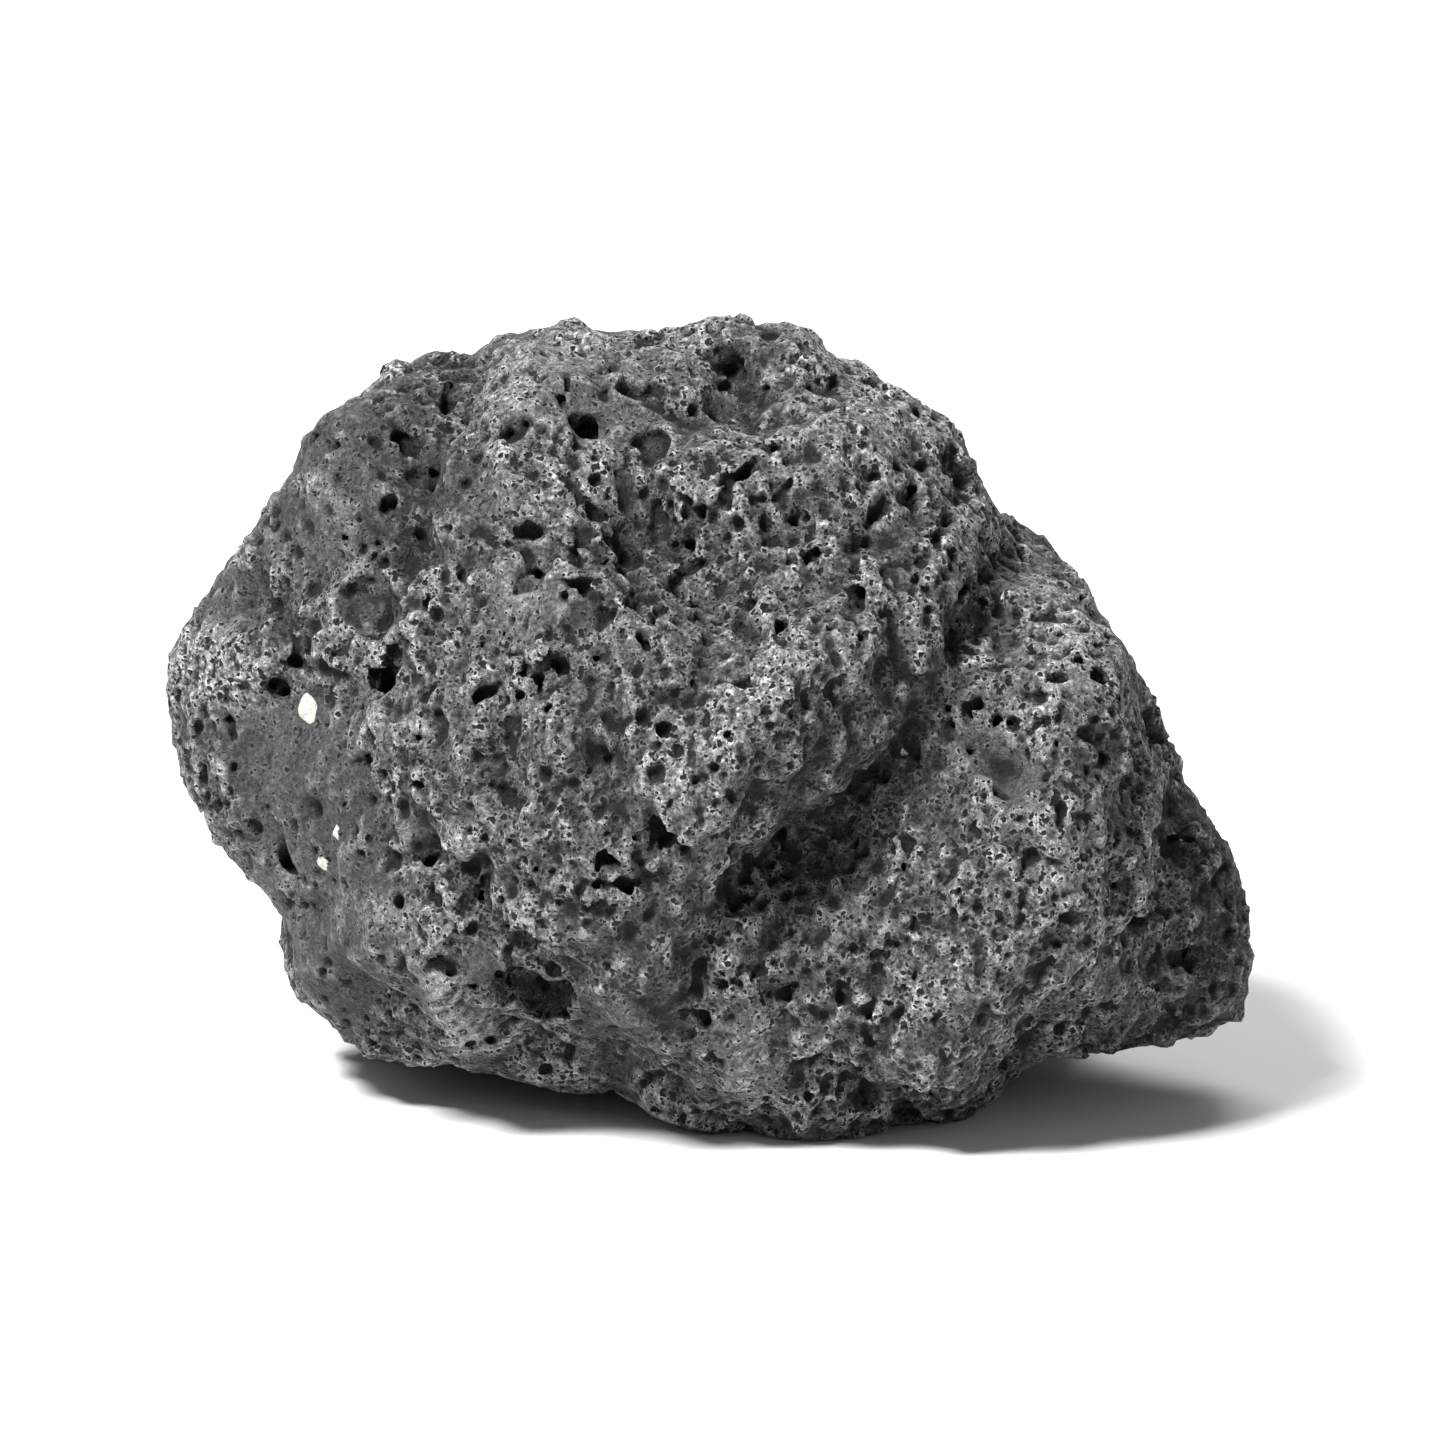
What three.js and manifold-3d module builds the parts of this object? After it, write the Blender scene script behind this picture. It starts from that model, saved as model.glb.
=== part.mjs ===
// A black lava rock: one solid lump of bubbly basalt, 167 mm wide, that lies on worn flats.
// Millimetres, +Z up. The front looks along +Y, and the origin is on the ground under the rock's middle.
// Every outline, face, ridge and bubble is measured from the heart, a point inside the rock.

import * as THREE from "three";
import { ImprovedNoise } from "three/addons/math/ImprovedNoise.js";
import { mergeVertices } from "three/addons/utils/BufferGeometryUtils.js";
import Module from "manifold-3d";

const wasm = await Module();
wasm.setup();

// Driving sizes
const heartPlace = [1.1, 1.1, 58];
const leanBack = 13; // degrees, how far the front outline's plane leans back from upright
const halfDepth = 68; // the barrel's half depth, before the broken faces cut it
const edgeSharpness = 12; // higher makes the edges between faces crisper
const outlineSpare = 1.015; // makes up for what the faces take off the outline
const skinSteps = 13; // each edge of the starting icosahedron is cut in this many and one more
const frontFineness = 0.3; // above 0 makes the skin's triangles smaller on the front than on the back

const rockColour = "#4b4b4d";

// The front outline from the top clockwise, [right, up] from the heart
const frontOutline = [
  [0, 62], [15, 59], [25, 47], [37, 42], [43, 34], [53, 22], [63, 9], [70, -8], [79, -19],
  [85, -35], [86, -51], [61, -52], [48, -55], [33, -63], [13, -66], [-6, -60], [-37, -54],
  [-54, -52], [-64, -42], [-65, -32], [-75, -19], [-84, -9], [-84, 0], [-87, 12], [-72, 26],
  [-67, 35], [-57, 46], [-49, 54], [-37, 55], [-26, 60], [-12, 60],
];

// Broken faces: the way each one looks, as degrees round from the front (to the right is positive)
// and degrees above level, and how far it lies from the heart
const brokenFaces = [
  { name: "front left", round: -36, above: 6, distance: 60 },
  { name: "front brow", round: 2, above: 46, distance: 54 },
  { name: "front middle", round: 6, above: 4, distance: 57 },
  { name: "front foot", round: 14, above: -36, distance: 66 },
  { name: "front right", round: 37, above: -6, distance: 69 },
  { name: "back left", round: -146, above: 12, distance: 56 },
  { name: "back right", round: 138, above: -8, distance: 62 },
  { name: "back middle", round: 178, above: 4, distance: 59 },
  { name: "back brow", round: 166, above: 44, distance: 58 },
  { name: "back foot", round: -168, above: -44, distance: 62 },
  { name: "sole", round: 0, above: -90, distance: 56.5 },
];

// Ridges (rise above 0) and valleys (below 0) along a path drawn on one side, [right, up] from the heart
const reliefs = [
  {
    name: "slanting valley",
    on: "front",
    path: [[43, 13], [41, 4], [35, -8], [23, -20], [5, -31]],
    reach: 9,
    rise: -11,
  },
  { name: "valley head", on: "front", path: [[46, 24], [43, 13]], reach: 8, rise: -5 },
  { name: "slope to the valley", on: "front", path: [[36, 2], [26, -9], [15, -21]], reach: 19, rise: -6 },
  { name: "lip across it", on: "front", path: [[55, 4], [50, -7], [43, -19], [31, -33]], reach: 10, rise: 6 },
  { name: "brow ridge", on: "front", path: [[-4, -11], [6, 1], [18, 11]], reach: 10, rise: 5 },
  { name: "brow bulge", on: "front", path: [[11, -3], [5, -12]], reach: 14, rise: 3 },
  { name: "cheek", on: "front", path: [[-44, -4], [-26, -8]], reach: 14, rise: 3 },
  { name: "dip over the brow", on: "front", path: [[-12, 27], [0, 20]], reach: 12, rise: -5 },
  { name: "jaw", on: "front", path: [[-46, -38], [-18, -46], [18, -46], [44, -38]], reach: 17, rise: 3 },
  { name: "right hump", on: "front", path: [[49, 12], [56, -8], [57, -28]], reach: 20, rise: 5 },
  { name: "right block edge", on: "front", path: [[54, -23], [42, -35], [28, -45]], reach: 10, rise: 6 },
  { name: "right corner slope", on: "front", path: [[74, -24], [76, -44]], reach: 14, rise: -7 },
  { name: "right flank groove", on: "front", path: [[57, 4], [63, -11]], reach: 7, rise: -4 },
  { name: "arched ridge", on: "front", path: [[4, 36], [14, 40], [23, 39]], reach: 9, rise: 4 },
  { name: "left shoulder", on: "front", path: [[-31, 52], [-27, 34]], reach: 11, rise: 4 },
  { name: "left block", on: "front", path: [[-60, 46], [-58, 34]], reach: 12, rise: 3 },
  { name: "left groove", on: "front", path: [[-41, 53], [-48, 40], [-50, 26]], reach: 8, rise: -9 },
  { name: "crown hollow", on: "front", path: [[0, 56], [5, 48]], reach: 9, rise: -6 },
  { name: "chin knob", on: "front", path: [[-41, -46]], reach: 9, rise: 5 },
  { name: "hollow round the cave", on: "front", path: [[-37, -36], [-23, -41]], reach: 9, rise: -5 },
  { name: "chin undercut", on: "front", path: [[-66, -44], [-40, -48], [-14, -54]], reach: 10, rise: -6 },
  { name: "foot crack", on: "front", path: [[-3, -36], [-4, -50]], reach: 6, rise: -4 },
  { name: "back valley", on: "back", path: [[-38, 32], [-8, 8], [6, -26]], reach: 14, rise: -9 },
  { name: "back knob", on: "back", path: [[36, 14]], reach: 26, rise: 7 },
  { name: "back ledge", on: "back", path: [[-58, -14], [-30, -20], [-4, -34]], reach: 10, rise: 6 },
  { name: "top saddle", on: "top", path: [[-34, 34], [4, 12], [42, 20]], reach: 13, rise: -6 },
  { name: "front foot", on: "sole", path: [[4, 27], [30, 28]], reach: 26, rise: 7 },
  { name: "left foot", on: "sole", path: [[-38, -18]], reach: 22, rise: 11 },
  { name: "right foot", on: "sole", path: [[38, -26]], reach: 22, rise: 12 },
];

// Burst bubbles that stand out: place on a side, half sizes across and up, and how far the
// bubble's middle is under the skin
const namedBubbles = [
  { name: "round crater", on: "front", at: [-54, 17], across: 5.8, up: 5.6, sunk: -0.5 },
  { name: "tall crater", on: "front", at: [-28, 24], across: 3.4, up: 6, sunk: 1 },
  { name: "tall crater beside it", on: "front", at: [-21, 15], across: 3, up: 5.4, sunk: 1 },
  { name: "jaw cave", on: "front", at: [-27, -40], across: 7, up: 4.4, sunk: 3.5 },
  { name: "middle pit", on: "front", at: [-7, -17], across: 3.6, up: 3.8, sunk: 2 },
  { name: "crown pit", on: "front", at: [2, 53], across: 4.2, up: 3.6, sunk: 2 },
  { name: "upper left pit", on: "front", at: [-19, 43], across: 2.4, up: 2.8, sunk: 1.5 },
  { name: "upper pit", on: "front", at: [-9, 41], across: 2.6, up: 2.8, sunk: 0 },
  { name: "flat pit", on: "front", at: [-50, 5], across: 4, up: 2.8, sunk: 1.5 },
  { name: "left rim pit", on: "front", at: [-67, 4], across: 2.4, up: 2.2, sunk: 0.5 },
  { name: "left slot", on: "front", at: [-66, -23], across: 2, up: 4, sunk: 0.8 },
  { name: "ring pit", on: "front", at: [-45, -21], across: 3.8, up: 3.2, sunk: -0.5 },
  { name: "pit over the jaw", on: "front", at: [-37, -29], across: 3, up: 2.8, sunk: 0.5 },
  { name: "foot pit", on: "front", at: [14, -53], across: 2.4, up: 2.4, sunk: 0.5 },
  { name: "pit by the tall craters", on: "front", at: [-34, 4], across: 2.3, up: 2.6, sunk: 0.4 },
  { name: "brow pit", on: "front", at: [21, 17], across: 2, up: 2.8, sunk: 0.6 },
  { name: "high brow pit", on: "front", at: [30, 33], across: 2.1, up: 2.8, sunk: 0.6 },
  { name: "hump dish", on: "front", at: [43, -7], across: 3.8, up: 3.4, sunk: -1.5 },
  { name: "jaw pit", on: "front", at: [46, -45], across: 2, up: 2.2, sunk: 0.5 },
];

// Other burst bubbles, scattered by a seed, the coarse ones off the front
const scattered = { seed: 41, coarse: 15, fine: 48, spacing: 11, lowest: 5, frontLimit: 0.2 };
const coarseBubble = { least: 3.2, most: 4.8, detail: 1 };
const fineBubble = { least: 1.8, most: 2.9, detail: 0 };

// Code for the shape

const turn = THREE.MathUtils.degToRad;
const lean = turn(leanBack);
const heart = new THREE.Vector3(...heartPlace);

// The sides that reliefs and bubbles are drawn on: unit vectors to the right, up, and out to the eye
const side = (right, up, out) => ({
  right: new THREE.Vector3(...right),
  up: new THREE.Vector3(...up),
  out: new THREE.Vector3(...out),
});
const sides = {
  front: side([1, 0, 0], [0, Math.sin(lean), Math.cos(lean)], [0, -Math.cos(lean), Math.sin(lean)]),
  back: side([-1, 0, 0], [0, 0, 1], [0, 1, 0]),
  top: side([1, 0, 0], [0, 1, 0], [0, 0, 1]),
  sole: side([1, 0, 0], [0, -1, 0], [0, 0, -1]),
};

for (const face of brokenFaces) {
  const level = Math.cos(turn(face.above));
  face.looks = new THREE.Vector3(
    Math.sin(turn(face.round)) * level,
    -Math.cos(turn(face.round)) * level,
    Math.sin(turn(face.above)),
  );
}

// How far the front outline is from the heart along a direction in its plane
function outlineReach(right, up) {
  for (let i = 0; i < frontOutline.length; i++) {
    const [ax, ay] = frontOutline[i];
    const [bx, by] = frontOutline[(i + 1) % frontOutline.length];
    const cross = right * (by - ay) - up * (bx - ax);
    const reach = (ax * (by - ay) - ay * (bx - ax)) / cross;
    const along = (ax * up - ay * right) / cross;
    if (reach > 0 && along > -1e-9 && along < 1 + 1e-9) return reach;
  }
  throw new Error("the outline doesn't go round the heart");
}

// The plain body: a barrel with the front outline, cut by the broken faces
function bodyReach(direction) {
  const right = direction.dot(sides.front.right);
  const up = direction.dot(sides.front.up);
  const deep = direction.dot(sides.front.out);
  const across = Math.hypot(right, up);
  const rim = across < 1e-6 ? 0 : across / outlineReach(right / across, up / across) / outlineSpare;
  let sum = Math.hypot(rim, deep / halfDepth) ** edgeSharpness;
  for (const face of brokenFaces) {
    sum += (Math.max(0, direction.dot(face.looks)) / face.distance) ** edgeSharpness;
  }
  return sum ** (-1 / edgeSharpness);
}

function distanceToPath(x, y, path) {
  if (path.length === 1) return Math.hypot(x - path[0][0], y - path[0][1]);
  let nearest = Infinity;
  for (let i = 1; i < path.length; i++) {
    const [ax, ay] = path[i - 1];
    const dx = path[i][0] - ax;
    const dy = path[i][1] - ay;
    const along = THREE.MathUtils.clamp(((x - ax) * dx + (y - ay) * dy) / (dx * dx + dy * dy), 0, 1);
    nearest = Math.min(nearest, Math.hypot(x - ax - along * dx, y - ay - along * dy));
  }
  return nearest;
}

// What ridges and valleys add at a point, given from the heart
function reliefAt(point, direction) {
  let rise = 0;
  for (const relief of reliefs) {
    const view = sides[relief.on];
    const facing = THREE.MathUtils.smoothstep(direction.dot(view.out), 0.05, 0.4);
    if (facing === 0) continue;
    const away = distanceToPath(point.dot(view.right), point.dot(view.up), relief.path) / relief.reach;
    if (away < 1) rise += relief.rise * facing * (1 - away * away) ** 2;
  }
  return rise;
}

// Rough stone: noise of a few sizes, where a lumpy one makes round lumps with creases between them.
// It is calmer along the outline and on the front, which have their own lumps.
const noise = new ImprovedNoise();
const roughness = [
  { wave: 38, height: 3.4, lumpy: false },
  { wave: 25, height: 11, lumpy: true },
  { wave: 9, height: 2.2, lumpy: false },
];
const outlineCalm = 0.3;
const frontCalm = 0.5;
function roughAt(point, direction) {
  const facing = direction.dot(sides.front.out);
  const offRim = THREE.MathUtils.smoothstep(Math.abs(facing), 0, 0.35);
  const onFront = THREE.MathUtils.smoothstep(facing, 0.2, 0.6);
  const calm = THREE.MathUtils.lerp(outlineCalm, 1, offRim) * THREE.MathUtils.lerp(1, frontCalm, onFront);
  let rise = 0;
  roughness.forEach(({ wave, height, lumpy }, i) => {
    const value = noise.noise(point.x / wave + 7.3 * i, point.y / wave + 2.1, point.z / wave + 5.7);
    rise += height * (lumpy ? Math.abs(value) - 0.2 : value);
  });
  return rise * calm;
}

// A point of the skin, from the heart
function skinPoint(direction) {
  const point = direction.clone().multiplyScalar(bodyReach(direction));
  return point.addScaledVector(direction, reliefAt(point, direction) + roughAt(point, direction));
}

// The skin's point that is seen at a place on a side
function skinUnder(view, [right, up]) {
  const line = new THREE.Vector3().addScaledVector(view.right, right).addScaledVector(view.up, up);
  let near = 0;
  let far = 120;
  for (let i = 0; i < 24; i++) {
    const deep = (near + far) / 2;
    const point = line.clone().addScaledVector(view.out, deep);
    if (point.length() < skinPoint(point.clone().normalize()).length()) near = deep;
    else far = deep;
  }
  return line.addScaledVector(view.out, near);
}

// Joining and cutting

function toSolid(geometry) {
  const bare = geometry.clone();
  bare.deleteAttribute("normal");
  bare.deleteAttribute("uv");
  const merged = mergeVertices(bare, 1e-5);
  return new wasm.Manifold(
    new wasm.Mesh({
      numProp: 3,
      vertProperties: merged.attributes.position.array,
      triVerts: new Uint32Array(merged.index.array),
    }),
  );
}

function toGeometry(solid) {
  const { vertProperties, triVerts } = solid.getMesh();
  const geometry = new THREE.BufferGeometry();
  geometry.setAttribute("position", new THREE.BufferAttribute(vertProperties, 3));
  geometry.setIndex(new THREE.BufferAttribute(triVerts, 1));
  geometry.computeVertexNormals();
  return geometry;
}

function skin() {
  const geometry = new THREE.IcosahedronGeometry(1, skinSteps);
  const places = geometry.attributes.position;
  const direction = new THREE.Vector3();
  for (let i = 0; i < places.count; i++) {
    direction.fromBufferAttribute(places, i).normalize();
    direction.addScaledVector(sides.front.out, frontFineness).normalize();
    places.setXYZ(i, ...skinPoint(direction));
  }
  return toSolid(geometry);
}

// One bubble: a ball stretched along the axes of a side, with its middle at a point from the heart
function bubble(middle, view, [across, up, deep], detail) {
  const axes = new THREE.Matrix4().makeBasis(view.right, view.up, view.out);
  const geometry = new THREE.IcosahedronGeometry(1, detail).scale(across, up, deep);
  return toSolid(geometry.applyMatrix4(axes).translate(...middle));
}

function namedCuts() {
  return namedBubbles.map(({ on, at, across, up, sunk }) => {
    const view = sides[on];
    const middle = skinUnder(view, at).addScaledVector(view.out, -sunk);
    return bubble(middle, view, [across, up, Math.min(across, up)], 1);
  });
}

// Scattered bubbles keep their distance from each other and from the named ones
function scatteredCuts() {
  const random = THREE.MathUtils.seededRandom;
  random(scattered.seed);
  const taken = namedBubbles.map(({ on, at }) => skinUnder(sides[on], at));
  const cuts = [];
  const total = scattered.coarse + scattered.fine;
  while (cuts.length < total) {
    const out = new THREE.Vector3(random() - 0.5, random() - 0.5, random() - 0.5);
    if (out.length() > 0.5) continue;
    const skinAt = skinPoint(out.normalize());
    const kind = cuts.length < scattered.coarse ? coarseBubble : fineBubble;
    if (kind === coarseBubble && out.dot(sides.front.out) > scattered.frontLimit) continue;
    if (skinAt.z + heart.z < scattered.lowest) continue;
    if (taken.some((other) => other.distanceTo(skinAt) < scattered.spacing)) continue;
    taken.push(skinAt);
    const size = THREE.MathUtils.lerp(kind.least, kind.most, random());
    const right = new THREE.Vector3(0.3, 0.5, -0.8).cross(out).normalize();
    const up = out.clone().cross(right);
    const middle = skinAt.clone().addScaledVector(out, -size * (0.1 + 0.3 * random()));
    cuts.push(bubble(middle, { right, up, out }, [size, size * (1 + 0.4 * random()), size], kind.detail));
  }
  return cuts;
}

const ground = new THREE.BoxGeometry(400, 400, 100).translate(0, 0, -50);

let rock = skin();
for (const cut of [...namedCuts(), ...scatteredCuts()]) rock = rock.subtract(cut);
rock = rock.translate(...heartPlace).subtract(toSolid(ground));

const material = new THREE.MeshStandardMaterial({ color: rockColour, roughness: 0.95, metalness: 0 });
const mesh = new THREE.Mesh(toGeometry(rock), material);
mesh.name = "lava_rock";

const group = new THREE.Group();
group.add(mesh);

export default group;
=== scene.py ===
import math
import time

import bpy
import numpy as np
import openvdb
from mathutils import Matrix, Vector


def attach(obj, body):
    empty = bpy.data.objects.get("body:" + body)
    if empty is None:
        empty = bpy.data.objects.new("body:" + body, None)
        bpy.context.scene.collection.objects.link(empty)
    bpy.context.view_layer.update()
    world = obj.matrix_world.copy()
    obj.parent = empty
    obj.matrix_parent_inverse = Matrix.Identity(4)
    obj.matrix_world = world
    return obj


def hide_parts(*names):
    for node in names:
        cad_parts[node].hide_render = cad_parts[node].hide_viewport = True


started = time.time()
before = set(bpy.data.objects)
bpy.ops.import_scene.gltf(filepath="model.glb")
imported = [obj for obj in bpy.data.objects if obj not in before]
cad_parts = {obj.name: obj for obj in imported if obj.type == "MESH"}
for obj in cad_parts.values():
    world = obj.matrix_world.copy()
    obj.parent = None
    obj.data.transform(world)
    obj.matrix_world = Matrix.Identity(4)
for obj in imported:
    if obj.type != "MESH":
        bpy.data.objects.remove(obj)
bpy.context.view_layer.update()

# The solid is read into a volume of distances, relief is added to it, craters, crevices and
# gas bubbles are cut out of it, and its skin becomes one closed mesh with a finish of nodes.
# Lengths on the stone are in millimetres and start from its heart, as in the solid.
# A place "on the front" is [right, up] in the front view, whose plane leans back a little.
mm = 0.001

stone = {
    "node": "lava_rock",
    "heart": (1.1, 1.1, 58.0),
    "leanBack": 13.0,  # degrees
    "boxLow": (-92.0, -70.0, -6.0),  # the block of voxels that the stone is carved in
    "boxSize": (184.0, 140.0, 138.0),
    "voxel": 0.55,
    "band": 6.0,  # how far from the skin the distances are known
    "softenFacets": 0.8,  # a blur that takes the solid's flat facets off
    "mostTriangles": 196000,
    "frontFineness": 3.0,  # above 0 keeps the front's triangles smaller than the back's
    "frontWeight": 0.5,  # how far the front is spared when triangles are joined
    "frontEdge": (-6, 10),  # from here to there before the heart the back turns into the front
    "probe": (85.0, -20.0, -0.25),  # depths before the heart at which the skin is looked for
}

lean = math.radians(stone["leanBack"])
heart = np.array(stone["heart"])
frontRight = np.array([1.0, 0.0, 0.0])
frontUp = np.array([0.0, math.sin(lean), math.cos(lean)])
frontOut = np.array([0.0, -math.cos(lean), math.sin(lean)])

voxel = stone["voxel"]
boxLow = np.array(stone["boxLow"])
boxSize = np.array(stone["boxSize"])
boxCount = (boxSize / voxel).astype(int) + 1
heights = boxLow[2] + np.arange(boxCount[2]) * voxel


def report(text):
    print(f"{time.time() - started:6.1f} s  {text}")


# Volumes: arrays of distances, below zero inside the stone


def distanceToSolid(rock):
    mesh = rock.data
    points = np.empty(len(mesh.vertices) * 3, np.float32)
    mesh.vertices.foreach_get("co", points)
    mesh.calc_loop_triangles()
    corners = np.empty(len(mesh.loop_triangles) * 3, np.int32)
    mesh.loop_triangles.foreach_get("vertices", corners)
    shell = openvdb.FloatGrid.createLevelSetFromPolygons(
        (points.reshape(-1, 3) / mm - boxLow).astype(np.float32),
        triangles=corners.reshape(-1, 3).astype(np.uint32),
        transform=openvdb.createLinearTransform(voxelSize=voxel),
        halfWidth=stone["band"] / voxel,
    )
    field = np.empty(boxCount, np.float32)
    shell.copyToArray(field)
    return field


def blurred(field, spread):
    # a bell-shaped blur, cut off at 2.5 spreads
    steps = max(1, int(round(2.5 * spread / voxel)))
    weights = np.exp(-0.5 * (np.arange(-steps, steps + 1) * voxel / spread) ** 2)
    weights = (weights / weights.sum()).astype(np.float32)
    for axis in range(3):
        total = field * weights[steps]
        for step in range(1, steps + 1):
            total += weights[steps + step] * np.roll(field, step, axis)
            total += weights[steps - step] * np.roll(field, -step, axis)
        field = total
    return field


def splineRows(axis, spacing):
    # smooth weights that spread a coarse lattice over the voxels of one axis
    place = np.arange(boxCount[axis]) * voxel / spacing
    cell = place.astype(int)
    part = place - cell
    weights = (
        (1 - part) ** 3,
        3 * part**3 - 6 * part**2 + 4,
        3 * (part + part**2 - part**3) + 1,
        part**3,
    )
    rows = np.zeros((boxCount[axis], int(boxSize[axis] / spacing) + 5), np.float32)
    for shift, weight in enumerate(weights):
        rows[np.arange(boxCount[axis]), cell + shift] = weight / 6
    return rows


def spreadOut(lattice, rows):
    lattice = np.tensordot(rows[0], lattice, (1, 0))
    lattice = np.tensordot(lattice, rows[1], (1, 1))
    return np.tensordot(lattice, rows[2], (1, 1))


def softNoise(seed, spacing, stretch=(1, 1, 1)):
    # about -2 to 2, with lumps some two lattice spacings across; the spline flattens the draws,
    # so they are made three times as high
    rows = [splineRows(axis, spacing * stretch[axis]) for axis in range(3)]
    counts = [row.shape[1] for row in rows]
    noise = np.random.default_rng(seed).standard_normal(counts, dtype=np.float32)
    return spreadOut(noise, rows) * np.float32(3)


def volumeOf(pointFunction, spacing):
    # a function of places, worked out on a coarse lattice and spread over the voxels
    rows = [splineRows(axis, spacing) for axis in range(3)]
    counts = [row.shape[1] for row in rows]
    steps = (np.indices(counts).reshape(3, -1).T - 1) * spacing
    values = pointFunction(boxLow + steps).astype(np.float32)
    return spreadOut(values.reshape(counts), rows)


def readAt(field, places):
    # the field between its voxels; places outside the block read its nearest voxel
    spot = np.clip((places - boxLow) / voxel, 0, boxCount - 1.001)
    cell = spot.astype(int)
    part = (spot - cell).astype(np.float32)
    total = np.zeros(len(places), np.float32)
    for corner in range(8):
        step = np.array([corner & 1, corner >> 1 & 1, corner >> 2])
        weight = np.where(step, part, 1 - part).prod(1)
        at = cell + step
        total += weight * field[at[:, 0], at[:, 1], at[:, 2]]
    return total


def smoothStep(low, high, value):
    share = np.clip((value - low) / (high - low), 0, 1)
    return share * share * (3 - 2 * share)


# Places on the front


def nearPath(places, path, reach):
    # 1 within 0.3 of its reach, and 0 from its reach on and on the stone's back
    fromHeart = places - heart
    right, up = fromHeart @ frontRight, fromHeart @ frontUp
    nearest = np.full(len(places), np.inf)
    for (ax, ay), (bx, by) in zip(path, path[1:] or path):
        dx, dy = bx - ax, by - ay
        along = ((right - ax) * dx + (up - ay) * dy) / max(dx * dx + dy * dy, 1e-9)
        along = np.clip(along, 0, 1)
        nearest = np.minimum(nearest, np.hypot(right - ax - along * dx, up - ay - along * dy))
    return smoothStep(1, 0.3, nearest / reach) * (fromHeart @ frontOut > 0)


def onFront(places):
    return smoothStep(*stone["frontEdge"], (places - heart) @ frontOut)


def skinUnder(field, right, up):
    # the skin's point that is seen at a place on the front, or, for a place off the edge, the
    # point before it that is nearest to the skin
    line = heart + right * frontRight + up * frontUp
    depths = np.arange(*stone["probe"])
    distances = readAt(field, line + depths[:, None] * frontOut)
    inside = distances < 0
    nearest = inside.argmax() if inside.any() else distances.argmin()
    return line + depths[nearest] * frontOut


smoothPlaces = (  # path, reach, share of the bubbles that is left out
    ([[-64, -8], [-60, -22], [-56, -32]], 17, 0.8),
    ([[-71, -3], [-65, -10]], 9, 0.9),
    ([[-62, 44], [-54, 42]], 11, 0.85),
    ([[-66, 29], [-54, 29]], 10, 0.75),
    ([[-75, 17]], 8, 0.7),
    ([[-40, 35], [-34, 34]], 8, 0.6),
    ([[-31, 19], [-30, 15]], 6, 0.9),
    ([[-27, 24], [-21, 15]], 6, 0.7),
    ([[-28, 52], [-18, 48]], 12, 0.6),
    ([[-61, -36], [-57, -44]], 9, 0.8),
    ([[-17, -48], [-14, -56]], 9, 0.6),
    ([[3, -48], [5, -56]], 7, 0.6),
    ([[40, -5], [46, -11]], 6, 0.95),
    ([[55, 4]], 5, 0.7),
    ([[-35, -38]], 5, 0.9),
    ([[-43, -41], [-37, -50]], 5.5, 0.95),
    ([[-62, 0.8]], 3, 1.0),
    ([[-46, -19]], 4, 0.8),
)
finePlaces = (  # path, reach, how far the bubbles get smaller and the big ones rarer
    ([[30, -30], [62, -28], [72, -40]], 30, 1.0),
    ([[10, -40], [40, -48]], 16, 0.8),
    ([[-14, -14], [-8, -34]], 12, 0.6),
    ([[12, 44], [30, 34]], 12, 0.5),
    ([[-40, 14], [-36, 30]], 13, 0.7),
)
paleAndHighlightPlaces = (  # path, reach, how pale; partly white bloom, partly painted highlights on lit bumps and edges
    ([[-7, -11], [-1, -5], [5, 0], [11, 9], [17, 6]], 6, 0.8),
    ([[51, 17], [55, 6]], 7, 0.6),
    ([[16, 42], [24, 40]], 7, 0.6),
    ([[20, 55], [36, 45], [46, 33]], 11, 0.5),
    ([[-30, 51]], 8, 0.7),
    ([[-27.5, 31.6]], 4, 1.0),
    ([[-31.7, 27.5]], 1.6, 1.0),
    ([[-25, 57.5], [-20, 57]], 5, 0.8),
    ([[-62, 35.5]], 4, 0.6),
    ([[-31, 18], [-30, 14]], 5, 0.45),
    ([[-42, -22], [-37, -18]], 2.6, 1.0),
    ([[-42.5, -41.5], [-38.5, -50]], 3.4, 2.4),
    ([[-28, -30], [-26, -34]], 4, 0.8),
    ([[-52, -30], [-42, -33]], 5, 0.6),
    ([[56, -22], [41, -35], [29, -44]], 6, 0.6),
    ([[6, -50], [6, -57]], 5, 0.8),
    ([[43, -49]], 4, 0.7),
    ([[49, -17]], 5, 0.6),
    ([[-80, 9], [-72, 6]], 8, 1.1),
)
paintedShadePlaces = (  # painted shade: path, reach, how much darker
    ([[-42, 53], [-46, 42], [-43, 36], [-48, 28]], 8, 0.85),
    ([[2, 54], [3, 49]], 6, 0.8),
    ([[41, 21]], 6, 0.6),
    ([[31, -7], [26, -12], [17, -21], [11, -27]], 8, 0.55),
    ([[26, -1], [17, -9], [10, -18]], 7, 0.35),
    ([[-36, -8], [-22, -22]], 17, 0.27),
    ([[-46, -36], [-20, -42]], 12, 0.36),
    ([[42, -50], [30, -56]], 10, 0.25),
    ([[-62, -38], [-55, -48]], 10, 0.42),
    ([[-27, 6], [-8, 8]], 13, 0.36),
    ([[-60, 40], [-62, 20]], 13, 0.3),
    ([[-76, -8], [-62, -14], [-44, -12]], 13, 0.27),
    ([[-58, -24], [-56, -30]], 10, 0.3),
    ([[-25, -27], [-10, -28]], 11, 0.3),
    ([[78, -18], [82, -42], [66, -52]], 15, 0.8),
    ([[-14, 20], [-3, 22]], 13, 0.35),
    ([[-30, -38], [-24, -38]], 5, 0.8),
    ([[21, 18], [27, 20]], 8, 0.4),
    ([[58, -5], [61, -10]], 7, 0.6),
    ([[-12, -42], [-2, -44]], 9, 0.4),
)


# The stone's relief

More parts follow.
